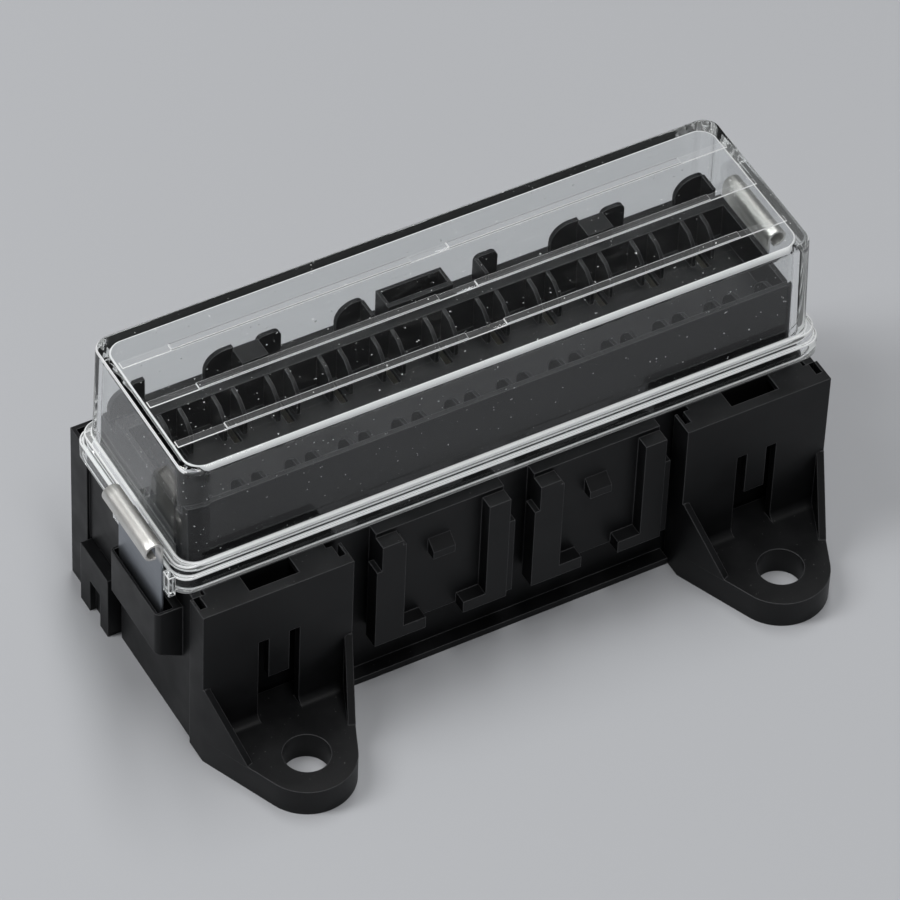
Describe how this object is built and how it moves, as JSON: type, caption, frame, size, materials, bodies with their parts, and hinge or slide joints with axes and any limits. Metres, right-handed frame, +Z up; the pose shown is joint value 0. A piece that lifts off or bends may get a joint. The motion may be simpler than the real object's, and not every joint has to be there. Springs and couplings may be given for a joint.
{
  "type": "blade fuse block",
  "caption": "Moulded block for a row of blade fuses, with two clip-on mounting feet and a clear lift-off cover held by a spring clip at each end.",
  "frame": {"origin": "midway between the two fixing holes, on the bottom plane", "axes": "+X along the row of fuses, +Y from the feet towards the back, +Z up, along the fixing holes"},
  "size_m": [0.1234, 0.0633, 0.0582],
  "materials": {
    "black_plastic": "satin",
    "clear_plastic": "clear",
    "spring_steel": "satin",
    "contact_metal": "tinned"
  },
  "bodies": {
    "block": {"fuse_body": "black_plastic", "foot_left": "black_plastic", "foot_right": "black_plastic", "contact_front_01": "contact_metal", "contact_rear_01": "contact_metal", "contact_front_02": "contact_metal", "contact_rear_02": "contact_metal", "contact_front_03": "contact_metal", "contact_rear_03": "contact_metal", "contact_front_04": "contact_metal", "contact_rear_04": "contact_metal", "contact_front_05": "contact_metal", "contact_rear_05": "contact_metal", "contact_front_06": "contact_metal", "contact_rear_06": "contact_metal", "contact_front_07": "contact_metal", "contact_rear_07": "contact_metal", "contact_front_08": "contact_metal", "contact_rear_08": "contact_metal", "contact_front_09": "contact_metal", "contact_rear_09": "contact_metal", "contact_front_10": "contact_metal", "contact_rear_10": "contact_metal", "contact_front_11": "contact_metal", "contact_rear_11": "contact_metal"},
    "cover": {"cover": "clear_plastic"},
    "clip_left": {"clip_left": "spring_steel"},
    "clip_right": {"clip_right": "spring_steel"}
  },
  "joints": [
    {"name": "cover_lift", "type": "slide", "parent": "block", "child": "cover", "axis": [0, 0, 1], "range_m": [0, 0.01]},
    {"name": "clip_left_swing", "type": "hinge", "parent": "block", "child": "clip_left", "pos_m": [-0.05868, 0.0257, 0.027], "axis": [0, -1, 0], "range_deg": [0, 24]},
    {"name": "clip_right_swing", "type": "hinge", "parent": "block", "child": "clip_right", "pos_m": [0.05868, 0.0403, 0.027], "axis": [0, 1, 0], "range_deg": [0, 24]}
  ],
  "couplings": [
    {"joint": "clip_left_swing", "follows": "cover_lift", "rad_per_m": 41.8},
    {"joint": "clip_right_swing", "follows": "cover_lift", "rad_per_m": 41.8}
  ]
}
